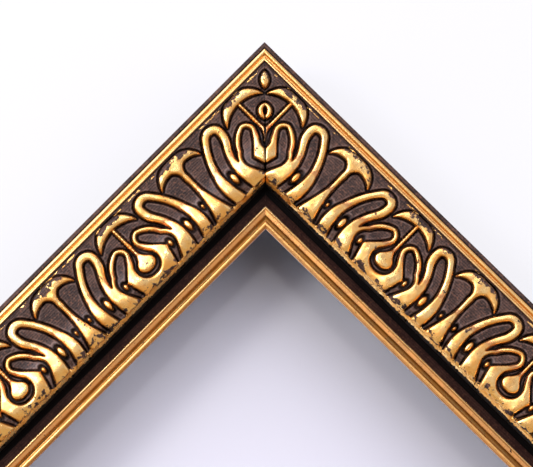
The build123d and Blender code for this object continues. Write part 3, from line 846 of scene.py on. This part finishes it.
class Value:
    """An output in a node tree. What is done with it adds the nodes for that."""

    def __init__(self, nodes, socket):
        self.nodes = nodes
        self.socket = socket

    def math(self, operation, other=0.0, clamp=False):
        return self.nodes.math(operation, self, other, clamp)

    def __add__(self, other):
        return self.math("ADD", other)

    def __sub__(self, other):
        return self.math("SUBTRACT", other)

    def __rsub__(self, other):
        return self.nodes.math("SUBTRACT", other, self)

    def __mul__(self, other):
        return self.math("MULTIPLY", other)

    def most(self, other):
        return self.math("MAXIMUM", other)

    def off(self, middle):
        """How far the value is from a middle, either way."""
        return (self - middle).math("ABSOLUTE")

    def part(self, axis):
        return self.nodes.add("ShaderNodeSeparateXYZ", {0: self}, axis)

    def steps(self, low, high, start=0.0, end=1.0):
        """A smooth step from start where the value is low to end where it is high."""
        inputs = {"Value": self, "From Min": low, "From Max": high, "To Min": start, "To Max": end}
        return self.nodes.add("ShaderNodeMapRange", inputs, "Result", interpolation_type="SMOOTHSTEP")

    def band(self, comes, goes, top=1.0):
        """A smooth step up over one range, and down again from top over the next."""
        return self.steps(*comes) * self.steps(*goes, top, 0.0)


class Nodes:
    """A node tree, with short ways to add nodes to it. Each gives the new node's output."""

    def __init__(self, tree):
        self.tree = tree

    def put(self, socket, value):
        if isinstance(value, Value):
            self.tree.links.new(value.socket, socket)
        else:
            socket.default_value = value

    def add(self, kind, inputs=None, output=0, **settings):
        node = self.tree.nodes.new(kind)
        for name, value in settings.items():
            setattr(node, name, value)
        for name, value in (inputs or {}).items():
            self.put(node.inputs[name], value)
        return Value(self, node.outputs[output])

    def math(self, operation, first, second, clamp=False):
        return self.add("ShaderNodeMath", {0: first, 1: second}, operation=operation, use_clamp=clamp)

    def mix(self, share, first, second):
        """A colour between two."""
        return self.add("ShaderNodeMix", {0: share, 6: first, 7: second}, 2, data_type="RGBA")

    def blend(self, share, first, second):
        """A number between two."""
        return self.add("ShaderNodeMix", {0: share, 2: first, 3: second})

    def coats(self, colour, *coats):
        """Colours over one another, each with its share."""
        for share, over in coats:
            colour = self.mix(share, colour, over)
        return colour

    def ramp(self, value, stops, low, high):
        """A colour by value, from (value, colour) pairs between low and high."""
        node = self.tree.nodes.new("ShaderNodeValToRGB")
        self.put(node.inputs[0], (value - low).math("DIVIDE", high - low, clamp=True))
        elements = node.color_ramp.elements
        while len(elements) < len(stops):
            elements.new(0.5)
        for element, (place, colour) in zip(elements, stops):
            element.position = (place - low) / (high - low)
            element.color = colour
        return Value(self, node.outputs["Color"])


class Shader(Nodes):
    """One material's nodes."""

    def __init__(self, name):
        self.material = bpy.data.materials.new(name)
        self.material.use_nodes = True
        super().__init__(self.material.node_tree)
        self.surface = self.tree.nodes["Principled BSDF"]

    def set(self, **values):
        for name, value in values.items():
            self.put(self.surface.inputs[name.replace("_", " ")], value)

    def attribute(self, name, output="Fac"):
        return self.add("ShaderNodeAttribute", output=output, attribute_name=name)

    def object_place(self):
        return self.add("ShaderNodeTexCoord", output="Object")

    def noise(self, vector, size, detail, roughness=0.55, shares=None):
        if shares:
            vector = self.add("ShaderNodeVectorMath", {0: vector, 1: shares}, operation="MULTIPLY")
        inputs = {"Vector": vector, "Scale": 1 / size, "Detail": detail, "Roughness": roughness}
        return self.add("ShaderNodeTexNoise", inputs, "Fac")

    def wave(self, vector, direction, period, distortion, detail, detail_scale):
        inputs = {"Vector": vector, "Scale": WAVE_PERIOD / period, "Distortion": distortion}
        inputs |= {"Detail": detail, "Detail Scale": detail_scale}
        return self.add("ShaderNodeTexWave", inputs, "Fac", bands_direction=direction)

    def bump(self, height, distance, strength, normal=None):
        inputs = {"Strength": strength, "Distance": distance * MM, "Height": height}
        if normal is not None:
            inputs["Normal"] = normal
        return self.add("ShaderNodeBump", inputs, "Normal")


def ground_colour(shader, place):
    """The dark, rubbed ground with its fine linen texture: a colour, and a height for its bump."""
    threads, weft = (shader.wave(place, direction, *LINEN) for direction in ("X", "Y"))
    linen = shader.blend(WEFT_SHARE, weft, threads)
    grain = shader.noise(place, *GRAIN)
    colour = shader.coats(
        GROUND,
        (shader.noise(place, *CLOUDS).steps(*GROUND_WARMS), GROUND_WARM),
        (linen.steps(*LINEN_SHOWS), GROUND_DEEP),
        (grain.steps(*RUST_SHOWS), RUST),
        (grain.steps(*PITS_SHOW), GROUND_DEEP),
    )
    return colour, linen


def gold_colour(shader, place):
    """Leaf that varies from pale to deep: a colour and a roughness."""
    cloud = shader.noise(place, *LEAF_CLOUDS)
    deep = shader.noise(place, *LEAF_GRAIN).steps(*LEAF_DEEPENS)
    colour = shader.coats(GOLD_PALE, (cloud.steps(*LEAF_WARMS), GOLD), (deep, GOLD_DEEP))
    return colour, cloud.steps(*LEAF_ROUGHENS)


def worn_away(shader, place, run, ragged, patch, speck):
    """Where the leaf is gone: rubbed crowns near the border, ragged feet and small chips."""
    crown = patch + run.steps(*CROWN_WEARS) + ragged * CROWN_RAGS
    foot = shader.noise(place, *FOOT_PATCHES) + run.steps(*FOOT_WEARS)
    return crown.steps(*CROWN_GONE).most(foot.steps(*FOOT_GONE)).most(speck.steps(*CHIPS))


def relief_material():
    """Worn gilding on the ornament, over a dark ground with black hollows beside the ribs as toner and
    painted shade.
    """
    shader = Shader("gilded_relief")
    place = shader.attribute("place", "Vector")
    rib, mitre = shader.attribute("rib"), shader.attribute("mitre")
    run, lift = place.part("Y"), place.part("Z")
    ground, linen = ground_colour(shader, place)
    gold, gold_roughness = gold_colour(shader, place)
    ragged, patch, speck, trace = (shader.noise(place, *kind) for kind in (RAGS, PATCHES, SPECKS, TRACES))
    frayed = ragged - MIDDLE_NOISE

    # Leaf on the ribs, gold left in places along the border, and a ragged strip of it along the bulge's foot
    worn = worn_away(shader, place, run, ragged, patch, speck)
    gilt = (rib + frayed * LEAF_RAGS).steps(*LEAF_EDGE) * (1.0 - worn)
    left = run.band(*BORDER_TRACES) * trace.steps(*TRACES_LEFT)
    strip = (run + (trace * STRIP_TEETH[0] + ragged * STRIP_TEETH[1])).steps(*STRIP_EDGE)
    # Painted shadow: black and no leaf on the roll's underside past the foot
    under = (run + frayed * UNDER_RAGS).steps(*UNDER_FOOT)
    gilt = gilt.most(left).most(strip * speck.steps(*STRIP_LEFT)) * (1.0 - under)

    # Black in the hollows beside the ribs, toner and painted shade, and a painted highlight on the shoulder
    # where the ground rises again
    hollow_shade = rib.band(*HOLLOWS) * patch.steps(*HOLLOWS_VARY)
    shoulder = rib.band(*SHOULDERS) * patch.steps(*SHOULDERS_VARY)
    ground = shader.coats(ground, (shoulder, SHOULDER_HIGHLIGHT), (hollow_shade.most(under), BLACK))

    # Gold that is deeper low down and on the ribs' flanks, paler on crests as burnish and painted highlight,
    # with painted shade in the crease
    on_ribs = 1.0 - strip.most(left)
    crest = rib.steps(*CREST_INSIDE) * lift.steps(*CREST_LIFTED)
    gold = shader.coats(
        gold,
        (on_ribs * lift.steps(*LOW_GOLD), GOLD_DEEP),
        (rib.steps(*FLANKS) * on_ribs, BOLE),
        (crest * patch.steps(*CREST_PALES), LEAF_BURNISH_HIGHLIGHT),
        # A painted shade: tan across the crease
        (run.band(*CREASE), TAN),
        (strip * STRIP_DEEP, GOLD_DEEP),
    )

    # The mitre's dark seam
    seam = (mitre.steps(*SEAM_DARK) * run.steps(*SEAM_LOW)).most(mitre.steps(*SEAM_FINE))
    colour = shader.coats(ground, (gilt, gold), (seam, BLACK))
    gilt = gilt * (1.0 - seam)

    rubbed = run.band(*RUBBED)
    weave = linen * (1.0 - gilt) * shader.blend(rubbed, 1.0, RUBBED_WEAVE)
    texture = shader.bump(weave, *WEAVE_BUMP)
    texture = shader.bump(shader.noise(place, *WRINKLES), *WRINKLE_BUMP, texture)
    shader.set(
        Base_Color=colour,
        Metallic=gilt,
        Roughness=shader.blend(gilt, shader.blend(rubbed, *GROUND_ROUGHNESS), gold_roughness),
        Specular_IOR_Level=shader.blend(rubbed, *GROUND_GLOSS) * (1.0 - hollow_shade),
        Normal=shader.bump(gilt, *LEAF_BUMP, texture),
    )
    return shader.material


def edge_paint(shader, place, at, ground):
    """The rail's outer edge: gilt from its bead to its fillet, and painted shade as dark lines in the nick
    and the groove.
    """
    groove = place.part("Y").off(GROOVE_MIDDLE).steps(*GROOVE_DARK)
    nick = at.off(NICK_MIDDLE).steps(*NICK_DARK)
    return at.band(*EDGE_GILT), shader.mix(groove.most(nick), ground, BLACK)


def slip_paint(shader, place, at, ground):
    """The slip: a dark flat with painted shade in black where the rail shades it, then gilt down to the
    sight bead's foot.
    """
    gilt = at.steps(*SLIP_GILT) * place.part("Z").steps(*SLIP_GILT_FOOT)
    recess = place.part("Y").steps(*SLIP_RECESS)
    return gilt, shader.coats(ground, (SLIP_PAINT, SLIP_DARK), (recess, BLACK))


def moulding_material(name, paint, bands, span, band_share, wobble, left, gloss):
    """A moulding's dark paint with bands of gilt along it, worn off in specks; the bands hold painted
    highlights and shade.
    """
    shader = Shader(name)
    place = shader.attribute("place", "Vector")
    ground, linen = ground_colour(shader, place)
    gold, gold_roughness = gold_colour(shader, place)
    at = place.part("Y") + (shader.noise(place, *EDGE_STREAKS) - MIDDLE_NOISE) * wobble
    # The bands' pale stops are painted highlights and their dark stops painted shade
    gold = shader.mix(band_share, gold, shader.ramp(at, bands, *span))
    gilt, ground = paint(shader, place, at, ground)
    gilt = gilt * shader.noise(place, *EDGE_SPECKS).steps(*left)
    texture = shader.bump(linen * (1.0 - gilt), *EDGE_WEAVE_BUMP)
    shader.set(
        Base_Color=shader.mix(gilt, ground, gold),
        Metallic=gilt,
        Roughness=shader.blend(gilt, EDGE_ROUGHNESS, gold_roughness),
        Specular_IOR_Level=gloss,
        Normal=shader.bump(shader.noise(place, *EDGE_WRINKLES), *EDGE_WRINKLE_BUMP, texture),
    )
    return shader.material


def wood_material():
    """Bare softwood behind, with its grain along each rail."""
    shader = Shader("bare_wood")
    place = shader.attribute("place", "Vector")
    rings = (shader.noise(place, *WOOD_BEND) * WOOD_RINGS).math("FRACT")
    fibre = shader.noise(place, *FIBRES)
    colour = shader.coats(
        WOOD_PALE,
        (rings.steps(*RINGS_SHOW), WOOD_RING),
        (fibre.steps(*FIBRES_SHOW), WOOD_FIBRE),
        (shader.noise(place, *GRIME).steps(*GRIME_SHOWS), WOOD_GRIME),
    )
    shader.set(Base_Color=colour, Roughness=0.72, Normal=shader.bump(fibre, *FIBRE_BUMP))
    return shader.material


def steel_material():
    """Bright zinc plate with faint spangle and fine scratches."""
    shader = Shader("zinc_plate")
    place = shader.object_place()
    spangle = shader.noise(place, *SPANGLE)
    scratch = shader.noise(place, *SCRATCHES)
    colour = shader.coats(
        ZINC_PALE,
        (spangle.steps(*SPANGLE_SHOWS), ZINC_DARK),
        (scratch.steps(*SCRATCHES_SHOW), ZINC_SCRATCH),
    )
    shader.set(Base_Color=colour, Metallic=1.0, Roughness=spangle.steps(*ZINC_ROUGHENS))
    shader.set(Normal=shader.bump(scratch, *SCRATCH_BUMP))
    return shader.material


def rubber_material():
    """Soft dark rubber with some dust on it."""
    shader = Shader("soft_rubber")
    place = shader.object_place()
    colour = shader.mix(shader.noise(place, *DUST).steps(*DUST_SHOWS), RUBBER, RUBBER_DUST)
    grain = shader.bump(shader.noise(place, *RUBBER_GRAIN), *RUBBER_BUMP)
    shader.set(Base_Color=colour, Roughness=0.78, Normal=grain)
    return shader.material


relief_finish = relief_material()
edge_finish = moulding_material(
    "patinated_edge", edge_paint, EDGE_BANDS, span=(2.2, 7.0), band_share=0.75, wobble=0.35,
    left=(0.7, 0.74, 1.0, 0.0), gloss=0.2)
slip_finish = moulding_material(
    "gilded_slip_finish", slip_paint, SLIP_BANDS, span=(58.5, 67.2), band_share=0.8, wobble=0.3,
    left=(0.69, 0.73, 1.0, 0.0), gloss=0.06)
wood = wood_material()
zinc = steel_material()
rubber = rubber_material()

# The two short sides share their relief's rasters, and so do the two long ones
short_fields = relief_fields("top")
long_fields = relief_fields("right")
for side in SIDES:
    relief = relief_piece(side, short_fields if side in SHORT_SIDES else long_fields, relief_finish)
    rail = swept_piece(side, "moulding", rail_profile(), edge_finish, wood)
    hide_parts(f"{side}_rail")
    slip = swept_piece(side, "inner_slip", slip_profile(), slip_finish, wood)
    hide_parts(f"{side}_slip")
    if side in SHORT_SIDES:
        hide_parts(f"corner_bosses_{side}_left", f"corner_bosses_{side}_right")

for name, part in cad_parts.items():
    if name.startswith(HARDWARE) or name == "bumpers":
        part.data.materials.clear()
        part.data.materials.append(rubber if name == "bumpers" else zinc)


def solids_of(mesh):
    """The points of each separate solid in a CAD mesh, in millimetres."""
    names = [tuple(round(value / MM, 3) for value in vertex.co) for vertex in mesh.vertices]
    group = {name: name for name in names}

    def root(name):
        while group[name] != name:
            name = group[name]
        return name

    for edge in mesh.edges:
        first, second = (root(names[corner]) for corner in edge.vertices)
        group[first] = second
    found = {}
    for name in group:
        found.setdefault(root(name), []).append(name)
    return [np.array(points) for points in found.values()]


def screw_head(low, high, turn, points, faces):
    """Adds a domed head with a cross recess and its shank, within two corners, to points and faces."""
    angles = np.linspace(0, 2 * math.pi, HEAD_SEGMENTS, endpoint=False)
    radius, angle = np.meshgrid(np.linspace(AXIS_RADIUS, HEAD_RADIUS, HEAD_RINGS), angles, indexing="ij")
    x, z = radius * np.cos(angle), radius * np.sin(angle)
    arm = np.minimum(np.abs(x), np.abs(z))
    reach = np.maximum(np.abs(x), np.abs(z))
    recess = (1 - step(*RECESS_WALL, arm)) * (1 - step(*RECESS_TAPER, reach) ** 2) * (reach < RECESS_ARM)
    rise = HEAD_RIM + HEAD_DOME * np.sqrt(np.maximum(0, 1 - (radius / HEAD_RADIUS) ** 2))
    foot, tip = high[1] - HEAD_RIM - HEAD_DOME, low[1]
    rows = [(x, foot + rise - RECESS_DEPTH * recess, z)]
    rim = ((HEAD_RADIUS, foot), (SHANK_RADIUS, foot), (SHANK_RADIUS, tip), (AXIS_RADIUS, tip))
    for ring_radius, level in rim:
        ring = np.full((1, HEAD_SEGMENTS), ring_radius)
        rows.append((ring * np.cos(angles), np.full((1, HEAD_SEGMENTS), level), ring * np.sin(angles)))
    x, y, z = (np.concatenate([row[axis] for row in rows]) for axis in range(3))
    turned_x = x * math.cos(turn) - z * math.sin(turn)
    turned_z = x * math.sin(turn) + z * math.cos(turn)
    middle = (low + high) / 2
    start, last = len(points), len(y) - 1
    grid = np.stack([turned_x + middle[0], y, turned_z + middle[2]], -1) * MM
    points.extend(grid.reshape(-1, 3).tolist())
    for ring in range(last):
        for segment in range(HEAD_SEGMENTS):
            following = (segment + 1) % HEAD_SEGMENTS
            a, b = (start + ring * HEAD_SEGMENTS + corner for corner in (segment, following))
            faces.append((a, b, b + HEAD_SEGMENTS, a + HEAD_SEGMENTS))
    faces.append([start + segment for segment in range(HEAD_SEGMENTS)][::-1])
    faces.append([start + last * HEAD_SEGMENTS + segment for segment in range(HEAD_SEGMENTS)])


for node in SCREWS:
    points, faces = [], []
    for number, solid in enumerate(solids_of(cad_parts[node].data)):
        screw_head(solid.min(0), solid.max(0), FIRST_TURN + NEXT_TURN * number, points, faces)
    heads = new_piece(f"{node}_heads", points, faces, zinc)
    heads.data.set_sharp_from_angle(angle=HEAD_SHARP)
    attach(heads, "frame")
    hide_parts(node)


def outside_frame(place):
    """White for the backdrop round the frame's outline: painted light over the frame's shadow there."""
    beside = place.part("X").math("ABSOLUTE").math("DIVIDE", OUTER_X * MM)
    above = place.part("Z").off(MIDDLE_Z * MM).math("DIVIDE", (TOP_Z - MIDDLE_Z) * MM)
    return beside.most(above).steps(*SURROUND)


def away_from_frame(place):
    """White for the floor, more of it with the distance."""
    beside, before = (place.part(axis).math("DIVIDE", OUTER_X * MM) for axis in ("X", "Y"))
    return (beside * beside + before * before).math("SQRT").steps(*FLOOR_PALES)


def stage_plane(name, corners, colour, white_share, one_sided):
    """A plain pale surface, whiter for the camera away from the frame. One-sided: clear from behind."""
    shader = Shader(name)
    place = shader.object_place()
    cloud = shader.noise(place, *STAGE_CLOUDS).steps(*STAGE_VARIES)
    shader.set(Base_Color=shader.mix(cloud, colour, STAGE_SHADE), Roughness=0.9, Specular_IOR_Level=0.0)
    plain = Value(shader, shader.surface.outputs[0])
    white = shader.add("ShaderNodeEmission")
    share = white_share(place) * shader.add("ShaderNodeLightPath", output="Is Camera Ray")
    seen = shader.add("ShaderNodeMixShader", {0: share, 1: plain, 2: white})
    if one_sided:
        behind = shader.add("ShaderNodeNewGeometry", output="Backfacing")
        clear = shader.add("ShaderNodeBsdfTransparent")
        seen = shader.add("ShaderNodeMixShader", {0: behind, 1: seen, 2: clear})
    shader.put(shader.tree.nodes["Material Output"].inputs["Surface"], seen)
    plane = new_piece(name, corners, [(0, 1, 2, 3)], shader.material)
    plane.visible_shadow = False
    plane.visible_diffuse = False
    plane.visible_glossy = False


def dark_card():
    """A card met by bounced light only, which keeps the light behind the frame off the backdrop."""
    corners = []
    for inset in (0.0, SIGHT_EDGE):
        right, top, bottom = OUTER_X - inset, TOP_Z - inset, BOTTOM_Z + inset
        for x, z in ((-right, bottom), (right, bottom), (right, top), (-right, top)):
            corners.append((x * MM, (BACK_Y + CARD_GAP) * MM, z * MM))
    shader = Shader("card")
    shader.set(Base_Color=BLACK, Roughness=1.0, Specular_IOR_Level=0.0)
    faces = [(n, (n + 1) % 4, (n + 1) % 4 + 4, n + 4) for n in range(4)]
    card = new_piece("card", corners, faces, shader.material)
    card.visible_camera = False
    card.visible_glossy = False
    card.visible_transmission = False
    card.visible_shadow = False


upright = [(-REACH, FLOOR_Z), (REACH, FLOOR_Z), (REACH, REACH), (-REACH, REACH)]
level = [(-REACH, -REACH), (REACH, -REACH), (REACH, REACH), (-REACH, REACH)]
stage_plane("backdrop", [(x, BACKDROP_Y, z) for x, z in upright], BACKDROP_COLOUR, outside_frame, True)
stage_plane("floor", [(x, y, FLOOR_Z) for x, y in level], FLOOR_COLOUR, away_from_frame, False)
dark_card()
scene = bpy.context.scene
scene.view_settings.view_transform = "Standard"


def light_world():
    """The studio's light round the frame, which the camera sees as white."""
    world = bpy.data.worlds.new("studio")
    scene.world = world
    world.use_nodes = True
    sky = Nodes(world.node_tree)
    heading = sky.add("ShaderNodeTexCoord", output="Generated")
    ahead, aside, above = (
        sky.add("ShaderNodeVectorMath", {0: heading, 1: direction}, "Value", operation="DOT_PRODUCT")
        for direction in (FRONT, RIGHT, UP)
    )
    to_camera = sky.add("ShaderNodeLightPath", output="Is Camera Ray")
    on_metal = sky.add("ShaderNodeLightPath", output="Is Glossy Ray")

    dome = sky.ramp(ahead, [(place, (level / DOME_TOP,) * 3 + (1.0,)) for place, level in DOME], 0.0, 1.0)
    gloss_sides = aside.steps(*GLOSS_SIDES)
    sides = aside.steps(*DOME_SIDES) * gloss_sides.math("POWER", on_metal)
    lit = dome * (above.steps(*DOME_FOOT) * sides)
    room = ahead.steps(*ROOM_BEHIND) * gloss_sides + ahead.steps(*ROOM_BELOW)
    room = room.most(ahead.steps(*ROOM_BACK)).most(ahead.steps(*ROOM_AHEAD))
    room = ahead.steps(*BEHIND).most(room * on_metal)
    cool = aside.steps(*COOL_SIDE)
    warm = above.steps(*DOME_FOOT, 1.0, 0.0) * ahead.steps(*WARM_FRONT)
    colour = sky.coats(
        STUDIO_TINT, (to_camera, WHITE), (cool * on_metal, GLOSS_COOL), (warm * on_metal, ROOM_WARMTH))
    background = sky.tree.nodes["Background"]
    sky.put(background.inputs["Color"], colour)
    sky.put(background.inputs["Strength"], lit.most(room).most(to_camera))


def soft_light(name, direction, distance, size, watts, colour):
    data = bpy.data.lights.new(name, "AREA")
    data.shape = "DISK"
    data.size = size
    data.energy = watts
    data.color = colour
    lamp = bpy.data.objects.new(name, data)
    scene.collection.objects.link(lamp)
    away = direction.normalized()
    lamp.location = LAMP_AIM + away * distance
    lamp.rotation_mode = "QUATERNION"
    lamp.rotation_quaternion = away.to_track_quat("Z", "Y")
    lamp.visible_camera = False
    return lamp


light_world()
lamps = {name: soft_light(name, *settings) for name, settings in LAMPS.items()}
lamps["left_panel"].visible_diffuse = False

apex = Vector((OUTER_X, BACK_Y - EDGE_HEIGHT, TOP_Z)) * MM
target = apex + RIGHT * (IMAGE[0] / 2 - APEX_PIXEL[0]) * PIXEL - UP * (IMAGE[1] / 2 - APEX_PIXEL[1]) * PIXEL
outward = (FRONT * math.cos(TILT) - UP * math.sin(TILT)).normalized()
screen_up = (UP - outward * UP.dot(outward)).normalized()
screen_right = screen_up.cross(outward)
camera_data = bpy.data.cameras.new("camera")
camera_data.sensor_width = SENSOR
camera_data.lens = SENSOR * DISTANCE / (IMAGE[0] * PIXEL)
camera_data.clip_start, camera_data.clip_end = CLIP
camera = bpy.data.objects.new("camera", camera_data)
scene.collection.objects.link(camera)
camera.location = target + outward * DISTANCE
camera.rotation_mode = "QUATERNION"
camera.rotation_quaternion = Matrix((screen_right, screen_up, outward)).transposed().to_quaternion()
scene.camera = camera
